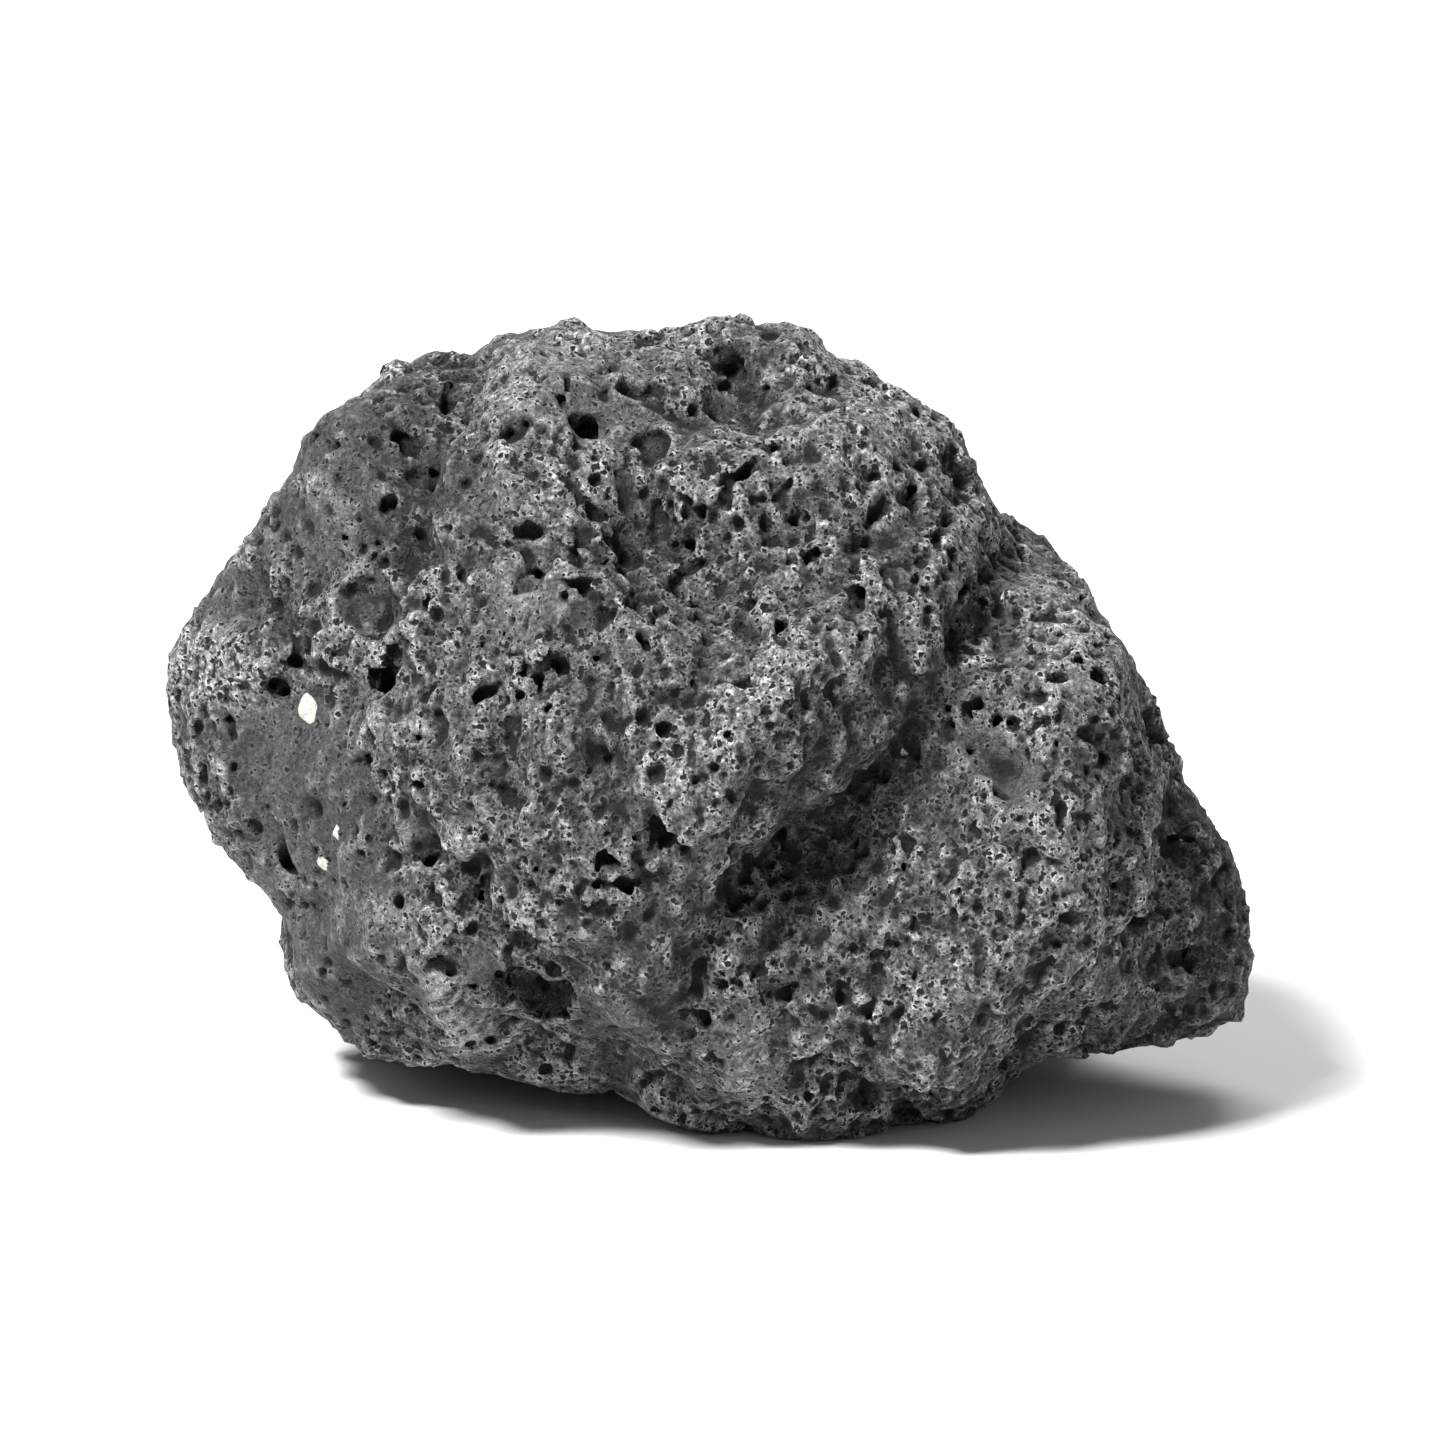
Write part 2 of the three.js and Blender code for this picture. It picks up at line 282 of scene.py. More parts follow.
relief = {
    "seed": 11,
    "layers": (  # lattice spacing, height
        (7.0, 0.6),
        (3.6, 0.34),
        (1.9, 0.26),
        (1.0, 0.17),
    ),
    "crests": (  # lattice spacing and height of sharp crests with round hollows between them
        (4.6, 0.55),
        (2.3, 0.38),
    ),
    "crestSeed": 31,
    "crestWidth": 0.8,  # higher makes the crests wider and the hollows deeper
    "flow": (1.0, 1.0, 1.7),  # lumps are longer up and down, the way the lava ran
    "smoothCalm": 0.35,  # how much of the relief the smooth places keep
    "calmSpacing": 3.0,  # of the lattice on which the smooth places are worked out
    "groundCalm": (0.3, 2.5),  # between these heights the relief fades in, so the worn flats stay flat
    "last": (77, 0.9, 0.1),  # seed, lattice spacing and height of the roughness inside the holes too
}


def addRelief(field):
    total = np.zeros_like(field)
    for i, (spacing, height) in enumerate(relief["layers"]):
        total += softNoise(relief["seed"] + i, spacing, relief["flow"]) * height
    for i, (spacing, height) in enumerate(relief["crests"]):
        crest = np.abs(softNoise(relief["crestSeed"] + i, spacing))
        total -= (crest - relief["crestWidth"]) * height
    total *= relief["smoothCalm"] + (1 - relief["smoothCalm"]) * volumeOf(bubbly, relief["calmSpacing"])
    total *= smoothStep(*relief["groundCalm"], heights)[None, None, :].astype(np.float32)
    return field - total


def addLastRoughness(field):
    seed, spacing, height = relief["last"]
    field -= softNoise(seed, spacing) * height


# Marks that stand out on the front

swellRow = {
    "step": 0.5,  # between the swells of a ridge, in reaches
    "overlap": 1.9,  # how many times one swell's height they add up to
}
swells = (  # path, reach, height
    ([[-54, 17]], 7.5, 4.2),
    ([[-28, 24]], 6, 3.2),
    ([[-21, 15]], 6, 3.0),
    ([[-46, -19]], 5.5, 1.8),
    ([[-39, -19]], 5, 1.9),
    ([[-40, -46]], 7.5, 2.6),
    ([[-30, 8]], 6, 1.3),
    ([[-2, -7], [4, 0]], 6, 0.8),
    ([[11, 9]], 6, 1.2),
    ([[53, 18]], 6, 1.6),
    ([[-26, 32]], 4, 1.4),
    ([[17, 4]], 5, -1.8),
    ([[-69, -6]], 9, -0.8),
    ([[40, -5], [46, -11]], 5, -1.8),
    ([[36, -5], [42, -13]], 3, 1.0),
    ([[-4, 46]], 6, -1.5),
    ([[2, 53]], 5.5, 3.0),
    ([[39, 11], [35, 2]], 9, 3.4),
    ([[7, -28], [1, -33]], 8, 2.4),
    ([[-34, -50], [-30, -53], [-20, -54.5], [-11, -56]], 10, 4.4),
    ([[-51.5, 52.5], [-44, 54.5]], 8, 2.8),
    ([[-69.5, 34.5]], 5.5, 1.4),
    ([[-73.5, 28]], 5.5, -3.4),
    ([[-34, 60], [-27, 61.5]], 7, -2.8),
    ([[-11.5, 58.5]], 7, 2.0),
)
ribs = {  # the row of small ribs across the knob of the chin
    "from": (-42.4, -41.6),
    "to": (-37.6, -50.0),
    "halfWide": 3.2,
    "sag": 1.0,
    "pitch": 1.9,
    "height": 0.68,
    "sideFade": (1.2, 0.7),  # in half widths
    "endFade": (0.6, 0.4),  # from the middle, in lengths
}
craterCut = {
    "wobble": 0.8,  # how much of the bubbles' unevenness the craters get
    "calm": (0.9, 1.05),  # share of the bubbles they go without, and how far round, in half widths
}
craters = (  # place, half widths across and up, how far the middle lies out of the skin, in widths
    ([-54, 17], (6.4, 6.2), 0.62),
    ([-26.7, 24], (2.4, 3.6), 0.5),
    ([-20.3, 15.3], (2.6, 4.0), 0.5),
    ([-26.5, -41.5], (4.9, 5.4), 0.3),
    ([-31.5, -33.5], (1.3, 1.5), 0.1),
    ([-19.5, 42.5], (2.1, 2.3), -0.1),
    ([-9.5, 41.5], (2.8, 2.8), 0.2),
    ([-30.5, 45], (2.8, 3.4), 0.5),
    ([-45, 46], (2.4, 2.6), 0.45),
    ([1, 47], (3.2, 3.4), 0.65),
    ([4, 52], (3.4, 3.6), 0.7),
    ([50, 22], (2.0, 2.4), 0.3),
    ([-13, 25], (3.0, 3.0), 0.6),
    ([-59, 41], (1.6, 1.0), 0.1),
    ([-45, 38], (3.0, 3.6), 0.6),
)
creviceCut = {
    "step": 0.6,  # between the balls that cut a crevice, in radii
    "rows": ((0.1, 1.0), (1.1, 0.75)),  # how deep each row of balls lies and their size, in radii
    "wobble": 1.8,
}
crevices = (  # path and radius of the grooves, slits and pits
    ([[-29.2, 27], [-27, 27.8], [-25, 25.5], [-23.8, 22]], 0.95),
    ([[-29, 25.5], [-27.8, 22.4], [-26.7, 21.3]], 0.6),
    ([[-21.9, 24.2], [-20.3, 22.5]], 1.1),
    ([[-23.5, 20.5], [-20.5, 19.6], [-18.3, 17.5], [-17.3, 14.5], [-17.6, 11.8]], 1.05),
    ([[-22.8, 18], [-22.8, 14.5], [-21.8, 11.8]], 0.7),
    ([[-29.5, 9.2], [-29, 6.2]], 0.6),
    ([[-35.4, 3.8]], 1.3),
    ([[-33, 4.2], [-34, 2]], 1.0),
    ([[-31.3, 2.7], [-28.5, 2.5], [-26, 4.2]], 0.6),
    ([[-24.7, 8.4], [-23.2, 7]], 1.0),
    ([[-51, -20], [-48, -23.2], [-44, -23.2], [-41.6, -20.5]], 0.8),
    ([[-40.5, 50], [-41.5, 46]], 0.9),
    ([[-48.5, 42], [-46, 40], [-47.5, 37.5]], 1.4),
    ([[-44.5, 39], [-42.5, 36.5], [-44, 34]], 0.9),
    ([[-49, 33], [-50.5, 31.5]], 0.8),
    ([[-48, 29.5], [-50, 27.5]], 0.7),
    ([[-51.5, 26]], 0.8),
    ([[-46, 31.5]], 0.8),
    ([[-45.5, 28], [-44.5, 25.5]], 0.7),
    ([[-11.5, 16.5], [-6.8, 19.1], [-5.3, 20.7], [-1.5, 23.2]], 1.0),
    ([[-8.5, 16], [-11, 12]], 0.8),
    ([[1.5, 33.5], [3, 36], [5, 38]], 1.0),
    ([[1.5, 50], [2.5, 54]], 0.8),
    ([[7, 47.5], [8, 50]], 0.9),
    ([[9.3, 40.7]], 1.0),
    ([[-14.3, 50.3]], 0.9),
    ([[29.6, 34], [29.3, 33]], 1.0),
    ([[24.1, 30.7]], 0.9),
    ([[14.3, 24.4]], 1.0),
    ([[9.6, 14], [9.2, 11.5]], 1.1),
    ([[21.3, 18.6], [21.2, 16.2]], 1.1),
    ([[35.5, 30.5], [34, 25.5]], 0.9),
    ([[41.5, 21.5], [39, 19.5], [37, 17.8]], 1.4),
    ([[-52.5, 4.5], [-50, 6.5], [-47.5, 8]], 1.1),
    ([[-50.5, 4], [-48.5, 5]], 1.3),
    ([[-55.5, 5.5], [-56, 1.5]], 0.7),
    ([[-67.5, 4.5], [-66.5, 4]], 1.0),
    ([[-63.7, 10.6], [-64.4, 8]], 0.9),
    ([[-64, 41.2], [-62.5, 41]], 0.8),
    ([[-44.8, -3.5]], 0.9),
    ([[-45, -11]], 0.9),
    ([[-66, -21], [-64.3, -26]], 1.1),
    ([[-36.8, -27.6], [-35, -31.2]], 1.1),
    ([[-43, -37.4], [-40.5, -38.6], [-38.4, -40.6], [-36.6, -41.5]], 1.0),
    ([[-30, -38.5], [-27, -37.2], [-24, -38.5]], 1.3),
    ([[-38, -51], [-36.5, -49.8], [-34.3, -50]], 0.6),
    ([[-75.2, -0.8]], 0.9),
    ([[39.3, 2.2], [42.5, 0.3]], 0.9),
    ([[37.7, -4.2], [38.6, -5.4]], 0.7),
    ([[-17, -21], [-14, -25], [-12.5, -28]], 1.2),
    ([[-1, -34], [-3, -40], [-2, -46]], 0.9),
    ([[-12, -57], [-4, -52]], 0.8),
    ([[55, -2.5], [59, -6.5]], 1.0),
)
fleckShape = {
    "turn": (0.91, 0.42),  # across and up
    "skew": 0.25,
    "buried": 0.6,  # how deep the middle lies, in sizes
    "whiteEdge": 0.25,  # how far round it the skin is white, mm
}
flecks = (  # place and size of the white grains that are stuck in the skin
    ((-62.0, 0.8), 1.8),
    ((-57.6, -18.0), 0.8),
    ((-60.0, -22.5), 0.9),
    ((28.6, -6.1), 0.6),
)


def addSwells(field):
    for path, reach, height in swells:
        for right, up, amount in swellSteps(path, reach, height):
            middle = skinUnder(field, right, up)
            part, x, y, z = windowRound(middle, reach)
            away = np.sqrt(x * x + y * y + z * z) / reach
            field[part] -= (amount * np.clip(1 - away * away, 0, 1) ** 2).astype(np.float32)


def swellSteps(path, reach, height):
    # one round swell, or a row of them that add up to a ridge of this height
    spots = alongPath(path, reach * swellRow["step"])
    amount = height if len(spots) == 1 else height / swellRow["overlap"]
    return [(right, up, amount) for right, up in spots]


def alongPath(path, step):
    spots = [path[0]]
    for a, b in zip(path, path[1:]):
        count = math.ceil(math.dist(a, b) / step)
        spots += [[a[i] + (b[i] - a[i]) * n / count for i in range(2)] for n in range(1, count + 1)]
    return spots


def windowRound(middle, reach):
    # the part of a volume round a point, and how far its voxels are from the point on each axis
    low = np.maximum(((middle - reach - boxLow) / voxel).astype(int), 0)
    high = np.minimum(((middle + reach - boxLow) / voxel).astype(int) + 2, boxCount)
    x, y, z = (boxLow[i] + np.arange(low[i], high[i]) * voxel - middle[i] for i in range(3))
    part = tuple(slice(low[i], high[i]) for i in range(3))
    return part, x[:, None, None], y[None, :, None], z[None, None, :]


def addRibs(field):
    start, end = np.array(ribs["from"]), np.array(ribs["to"])
    length = math.dist(start, end)
    down = (end - start) / length
    middle = skinUnder(field, *(start + end) / 2)
    part, x, y, z = windowRound(middle, length)
    right = x - frontRight @ (heart - middle) - start[0] + 0 * (y + z)
    up = y * frontUp[1] + z * frontUp[2] - frontUp @ (heart - middle) - start[1] + 0 * x
    along = right * down[0] + up * down[1]
    side = (right * -down[1] + up * down[0]) / ribs["halfWide"]
    wave = np.cos(2 * math.pi * (along - ribs["sag"] * (1 - side * side)) / ribs["pitch"])
    near = smoothStep(*ribs["sideFade"], np.abs(side))
    near *= smoothStep(*ribs["endFade"], np.abs(along / length - 0.5))
    field[part] -= (wave * near * ribs["height"]).astype(np.float32)


def grainDistance(x, y, z, size):
    # a blunt block, turned a little on the front; below zero inside
    right, up = x, y * frontUp[1] + z * frontUp[2]
    out = y * frontOut[1] + z * frontOut[2]
    wide, high = fleckShape["turn"]
    a, b = right * wide - up * high, right * high + up * wide
    return (a**4 + (b + fleckShape["skew"] * a) ** 4 + out**4) ** 0.25 - size


def addFlecks(field, skin):
    # the places of the grains are kept for the finish
    middles = []
    for spot, size in flecks:
        middle = skinUnder(skin, *spot) - frontOut * size * fleckShape["buried"]
        part, x, y, z = windowRound(middle, size * 1.5 + voxel)
        field[part] = np.minimum(field[part], grainDistance(x, y, z, size).astype(np.float32))
        middles.append((middle, size))
    return middles


def cutCraters(field, wobble):
    for spot, (across, up), out in craters:
        middle = skinUnder(field, *spot) + frontOut * across * out
        part, x, y, z = windowRound(middle, max(across, up) + 3 * voxel)
        high = y * frontUp[1] + z * frontUp[2]
        deep = y * frontOut[1] + z * frontOut[2]
        drawn = np.sqrt(x * x + (high * across / up) ** 2 + deep * deep)
        ball = (across - drawn).astype(np.float32)
        field[part] = np.maximum(field[part], ball + craterCut["wobble"] * wobble[part])


def cutCrevices(field, wobble):
    for path, radius in crevices:
        places = [skinUnder(field, *spot) for spot in alongPath(path, radius * creviceCut["step"])]
        for deep, share in creviceCut["rows"]:
            for place in places:
                size = radius * share
                part, x, y, z = windowRound(place - frontOut * radius * deep, size + 3 * voxel)
                ball = size - np.sqrt(x * x + y * y + z * z).astype(np.float32)
                field[part] = np.maximum(field[part], ball + creviceCut["wobble"] * wobble[part])


# Burst gas bubbles

bubbles = {
    "seed": 23,
    "kinds": (  # tries in each cubic millimetre, smallest and largest radius, least wall between two
        {"share": 0.0004, "least": 1.6, "most": 2.3, "wall": 1.2},
        {"share": 0.008, "least": 1.0, "most": 1.5, "wall": 0.6},
        {"share": 1.6, "least": 0.5, "most": 0.85, "wall": 0.4},
    ),
    "fineLoss": 0.8,  # share of the two larger kinds that fine places go without
    "fineShrink": 0.25,  # how much smaller the bubbles are there
    "favourSmall": 1.6,  # above 1 makes small bubbles commoner within a kind
    "deepest": -0.75,  # where a bubble's middle may lie, in radii from the skin
    "highest": 0.1,
    "stretch": (1.0, 2.1),  # how many times longer than wide
    "wobble": (1.6, 0.32),  # lattice spacing and height of the unevenness of their walls
    "flows": (  # the way the lava ran: a place on the front, and degrees from upright to the right
        ([0, 40], 4),
        ([-45, 20], -12),
        ([-20, -28], 42),
        ([52, 0], -32),
        ([40, -40], 20),
    ),
    "flowBlend": 5,  # how softly one way of flow turns into the next
    "flowSpread": 0.25,
    "smoothPatches": 9.0,  # lattice spacing of the patches that have few bubbles
    "patchEdge": (-1.6, 0.2),  # noise from which the patches go from bare to full
}


def flowAt(middle):
    right, up = (middle - heart) @ frontRight, (middle - heart) @ frontUp
    blend = bubbles["flowBlend"]
    weights = [1 / (math.dist((right, up), at) + blend) ** 2 for at, _ in bubbles["flows"]]
    angle = sum(w * turn for w, (_, turn) in zip(weights, bubbles["flows"])) / sum(weights)
    return frontRight * math.sin(math.radians(angle)) + frontUp * math.cos(math.radians(angle))


def bubbly(places):
    # the share of the bubbles that a place gets
    share = np.ones(len(places))
    for path, reach, less in smoothPlaces:
        share *= 1 - less * nearPath(places, path, reach)
    less, wider = craterCut["calm"]
    for spot, widths, _ in craters:
        share *= 1 - less * nearPath(places, [spot], min(widths) * wider)
    return share


def strongestOf(marks, places, strength=0.0):
    # the highest amount that the marks, and what is there already, give each place
    for path, reach, amount in marks:
        strength = np.maximum(strength, amount * nearPath(places, path, reach))
    return strength


def bubblePlaces(field):
    rng = np.random.default_rng(bubbles["seed"])
    patches = softNoise(bubbles["seed"], bubbles["smoothPatches"])
    placed = []  # middle and radius
    cells = {}
    size = 2 * bubbles["kinds"][0]["most"] + bubbles["kinds"][0]["wall"]
    for kind in bubbles["kinds"]:
        count = int(kind["share"] * boxSize.prod())
        middles = boxLow + rng.random((count, 3)) * boxSize
        wider = rng.random(count) ** bubbles["favourSmall"]
        radii = kind["least"] + (kind["most"] - kind["least"]) * wider
        chance = rng.random(count)
        depth = readAt(field, middles) / radii
        near = (depth > bubbles["deepest"]) & (depth < bubbles["highest"])
        middles, radii, chance = middles[near], radii[near], chance[near]
        fine = strongestOf(finePlaces, middles)
        share = smoothStep(*bubbles["patchEdge"], readAt(patches, middles)) * bubbly(middles)
        if kind["least"] >= 1:
            share *= 1 - bubbles["fineLoss"] * fine
        radii *= 1 - bubbles["fineShrink"] * fine
        kept = chance < share
        for middle, radius in zip(middles[kept], radii[kept]):
            home = tuple((middle / size).astype(int))
            around = [
                other
                for i in (-1, 0, 1)
                for j in (-1, 0, 1)
                for k in (-1, 0, 1)
                for other in cells.get((home[0] + i, home[1] + j, home[2] + k), ())
            ]
            if any(math.dist(middle, m) < radius + r + kind["wall"] for m, r in around):
                continue
            cells.setdefault(home, []).append((middle, radius))
            placed.append((middle, radius))
    return placed, rng


def cutBubbles(field, wobble):
    placed, rng = bubblePlaces(field)
    for middle, radius in placed:
        long = Vector(flowAt(middle) + rng.normal(0, bubbles["flowSpread"], 3)).normalized()
        stretch = rng.uniform(*bubbles["stretch"])
        part, x, y, z = windowRound(middle, radius * math.sqrt(stretch) + 2 * voxel)
        along = x * long.x + y * long.y + z * long.z
        squared = x * x + y * y + z * z
        # across the flow the bubble is narrower by as much as it is longer along it
        drawn = np.sqrt((squared - along**2) * math.sqrt(stretch) + along**2 / stretch)
        window = field[part]
        np.maximum(window, (radius - drawn).astype(np.float32) + wobble[part], out=window)
    report(f"{len(placed)} bubbles cut")


# From volume to mesh


def toPolygons(field):
    # distances are cut off at 2 mm, which is also what the volume has outside the block
    grid = openvdb.FloatGrid(2.0)
    grid.copyFromArray(np.clip(field, -2, 2), tolerance=0.0)
    grid.transform = openvdb.createLinearTransform(voxelSize=voxel)
    points, _, quads = grid.convertToPolygons(isovalue=0.0, adaptivity=0.0)
    return points + boxLow, quads.astype(np.int64)


def largestPiece(points, quads):
    # each point takes the lowest number among its neighbours until nothing changes
    ends = np.concatenate([quads[:, [0, 1]], quads[:, [1, 2]], quads[:, [2, 3]], quads[:, [3, 0]]])
    label = np.arange(len(points))
    while True:
        lower = np.minimum(label[ends[:, 0]], label[ends[:, 1]])
        before = label.copy()
        np.minimum.at(label, ends[:, 0], lower)
        np.minimum.at(label, ends[:, 1], lower)
        label = label[label]
        if (label == before).all():
            break
    best = np.bincount(label).argmax()
    quads = quads[label[quads[:, 0]] == best]
    used = np.unique(quads)
    renumber = np.zeros(len(points), np.int64)
    renumber[used] = np.arange(len(used))
    return points[used], renumber[quads]


def toMesh(name, points, quads):
    mesh = bpy.data.meshes.new(name)
    mesh.vertices.add(len(points))
    mesh.vertices.foreach_set("co", points.astype(np.float32).ravel())
    mesh.loops.add(quads.size)
    mesh.loops.foreach_set("vertex_index", quads.astype(np.int32).ravel())
    mesh.polygons.add(len(quads))
    mesh.polygons.foreach_set("loop_start", np.arange(0, quads.size, 4, dtype=np.int32))
    mesh.update(calc_edges=True)
    return mesh


def facesOut(points, quads):
    a, b, c, d = (points[quads[:, i]] for i in range(4))
    volume = (np.cross(c - a, d - b) * (a + b + c + d)).sum()
    return quads if volume > 0 else quads[:, ::-1]


def thinned(mesh, weights):
    piece = bpy.data.objects.new("thinning", mesh)
    bpy.context.scene.collection.objects.link(piece)
    group = piece.vertex_groups.new(name="coarser")
    for level in range(1, 11):  # weights in steps of a tenth
        chosen = np.flatnonzero(np.round(weights * 10) == level)
        group.add(chosen.tolist(), level / 10, "REPLACE")
    thin = piece.modifiers.new("thin", "DECIMATE")
    thin.ratio = min(1.0, stone["mostTriangles"] / (2 * len(mesh.polygons)))
    thin.use_collapse_triangulate = True
    thin.vertex_group = group.name
    thin.vertex_group_factor = stone["frontFineness"]
    bpy.context.view_layer.update()
    shown = piece.evaluated_get(bpy.context.evaluated_depsgraph_get())
    result = bpy.data.meshes.new_from_object(shown)
    bpy.data.objects.remove(piece)
    bpy.data.meshes.remove(mesh)
    return result


def pointsOf(mesh):
    points = np.empty(len(mesh.vertices) * 3, np.float32)
    mesh.vertices.foreach_get("co", points)
    return points.reshape(-1, 3).astype(float)


def addPointValues(mesh, name, values):
    values = values.astype(np.float32)
    mesh.attributes.new(name, "FLOAT", "POINT").data.foreach_set("value", values)


# What the finish knows of each point of the skin

readings = {
    "edgeBlur": 0.9,  # tells the crests from the hollows
    "openBlur": 3.0,  # tells the open places from the caves
    "openLimit": 4,
    "paleSeed": 55,
    "paleSpacing": 6.0,
    "paleFrom": (1.0, 2.2),  # noise from which a patch is pale
    "paleFrontLoss": 0.6,  # the front has its own pale places
}


def addReadings(mesh, places, field, unbroken, whites):
    addPointValues(mesh, "sunk", -readAt(unbroken, places))
    addPointValues(mesh, "edge", readAt(blurred(field, readings["edgeBlur"]), places))
    near = np.clip(field, -readings["openLimit"], readings["openLimit"])
    addPointValues(mesh, "open", readAt(blurred(near, readings["openBlur"]), places))
    addPointValues(mesh, "bubbly", bubbly(places))
    patches = readAt(softNoise(readings["paleSeed"], readings["paleSpacing"]), places)
    pale = smoothStep(*readings["paleFrom"], patches) * (1 - readings["paleFrontLoss"] * onFront(places))
    # pale in white bloom patches and in the listed places, which are partly painted highlights
    addPointValues(mesh, "pale", strongestOf(paleAndHighlightPlaces, places, pale))
    # how much painted shade each place gets
    addPointValues(mesh, "paintedShadeAmount", strongestOf(paintedShadePlaces, places))
    white = np.full(len(places), -9.0)  # far below 0, which is the edge of the white
    for middle, size in whites:
        x, y, z = (places - middle).T
        white = np.maximum(white, fleckShape["whiteEdge"] - grainDistance(x, y, z, size))
    addPointValues(mesh, "white", white)


def carveStone():
    field = distanceToSolid(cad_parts[stone["node"]])
    field = blurred(field, stone["softenFacets"])
    report(f"solid read into {boxCount.prod() / 1e6:.1f} million voxels")
    addSwells(field)
    field = addRelief(field)
    addRibs(field)
    unbroken = field.copy()
    report("relief added")
    spacing, height = bubbles["wobble"]
    wobble = softNoise(bubbles["seed"] + 1, spacing) * height
    cutCraters(field, wobble)
    cutCrevices(field, wobble)
    cutBubbles(field, wobble)
    whites = addFlecks(field, unbroken)
    addLastRoughness(field)
    # nothing reaches below the ground
    return np.maximum(field, -heights[None, None, :].astype(np.float32)), unbroken, whites


def makeStone():
    field, unbroken, whites = carveStone()
    points, quads = largestPiece(*toPolygons(field))
    report(f"{len(quads)} quads in the largest piece")
    mesh = toMesh("lavaStone", points, facesOut(points, quads))
    mesh = thinned(mesh, 1 - stone["frontWeight"] * onFront(points))
    report(f"{len(mesh.polygons)} triangles kept")
    places = pointsOf(mesh)
    addReadings(mesh, places, field, unbroken, whites)
    mesh.vertices.foreach_set("co", (places * mm).astype(np.float32).ravel())
    mesh.polygons.foreach_set("use_smooth", np.ones(len(mesh.polygons), bool))
    piece = bpy.data.objects.new("lava_stone", mesh)
    bpy.context.scene.collection.objects.link(piece)
    return piece


# Nodes


class NodeMaker:
    def __init__(self, name):
        self.material = bpy.data.materials.new(name)
        self.material.use_nodes = True
        self.tree = self.material.node_tree
        self.shader = self.tree.nodes["Principled BSDF"]

    def add(self, kind, settings=None, **inputs):
        node = self.tree.nodes.new("ShaderNode" + kind)
        for key, value in (settings or {}).items():
            setattr(node, key, value)
        for key, value in inputs.items():
            self.plug(node.inputs[int(key[1:])], value)
        return node

    def plug(self, socket, value):
        if isinstance(value, bpy.types.NodeSocket):
            self.tree.links.new(value, socket)
        else:
            socket.default_value = value

    def math(self, operation, a, b=0.0, c=0.0):
        return self.add("Math", {"operation": operation}, _0=a, _1=b, _2=c).outputs[0]

    def span(self, value, low, high, toLow=0.0, toHigh=1.0):
        node = self.add("MapRange", {"interpolation_type": "SMOOTHSTEP"}, _0=value)
        for i, number in enumerate((low, high, toLow, toHigh)):
            self.plug(node.inputs[i + 1], number)
        return node.outputs[0]

    def mix(self, share, a, b):
        node = self.add("Mix", {"data_type": "RGBA"}, _0=share)
        self.plug(node.inputs[6], a)
        self.plug(node.inputs[7], b)
        return node.outputs[2]

    def value(self, name):
        return self.add("Attribute", {"attribute_name": name}).outputs["Fac"]


def grey(level, warmth=0.0):
    return (level * (1 + warmth), level, level * (1 - warmth), 1.0)


# The stone's finish

finish = {
    # grey level and warmth
    "plain": (0.048, 0.0),
    "dusty": (0.078, 0.01),
    # the painted highlight on the crests
    "crest": (0.225, 0.01),
    # the white bloom and the painted highlights of the pale places
    "pale": (0.3, 0.02),
    # near black: the painted shade in the pores, hollows, holes and caves
    "paintedShadeGrey": (0.003, 0.0),
    "fleck": (0.86, 0.85, 0.76),  # red, green and blue
    "roughness": 0.7,
    "gloss": 0.45,
    # noise as size in mm, detail and roughness; from which to which noise; what it gives at each end
    "dust": ((20, 3), (0.42, 0.62)),
    "grain": ((0.75, 4, 0.75), (0.32, 0.68, 0.1, 2.5)),
    "bloomGrain": ((1.1, 3, 0.65), (0.38, 0.6, 0.1, 1.0)),
    "bloomPatches": ((5, 2), (0.38, 0.58, 0.4, 1.0)),
    # the painted shade of the listed places, mottled by this noise
    "paintedShadeMottle": ((3, 3), (0.3, 0.6, 1.0, 0.4)),
    "crowding": ((8, 2), (0.34, 0.52, 0.8, 1.1)),
    "speck": ((0.8, 2), (0.35, 0.6, 0.85, 1.0)),
    # from which to which reading of the skin, and how strongly it shows at each end
    "crestHighlight": (0.05, 0.5, 0.0, 0.85),
    # painted shade in hollows, holes and caves
    "hollowShade": (0.07, -0.3, 0.0, 0.92),
    "holeShade": (0.9, 4.5, 0.0, 0.65),
    "caveShade": (-0.5, -2.0, 0.0, 0.5),
    "onFlecks": (0.0, 0.12),
    "smooth": (0.9, 0.1),
    # what the smooth places keep: of the pores, their painted rim highlights and the painted shade
    "smoothPores": 0.75,
    "smoothRimHighlights": 0.8,
    "smoothHoles": 0.3,
    "smoothCaves": 0.4,
    "smoothHollows": 0.15,  # how much deeper a hollow is there before its painted shade begins
    "smoothEven": 0.32,  # how even the grain is there
    "smoothShade": 1.25,  # and how light
    # the pores that are too small for the mesh
    "grainHeight": ((0.25, 0.75), 0.45),
    "pores": (  # cell in mm, smallest and largest radius in cells, depth in mm
        {"cell": 1.7, "least": 0.14, "most": 0.36, "depth": 0.5},
        {"cell": 0.95, "least": 0.16, "most": 0.42, "depth": 0.35},
    ),
    "poreEdge": (1.05, 0.8),  # in radii, as the next three
    "poreRimHighlight": (1.7, 1.15),
    "poreBowl": (1.1, 0.2),
    "rimHighlightStrength": (0.1, 0.9, 0.2, 1.0),  # wider pores have stronger painted rim highlights
    "rimHighlightGain": 0.95,  # how much lighter the painted rim highlights are
    "warp": (1.1, 2, 0.7),  # size, detail and height of the wander that makes pores uneven
}


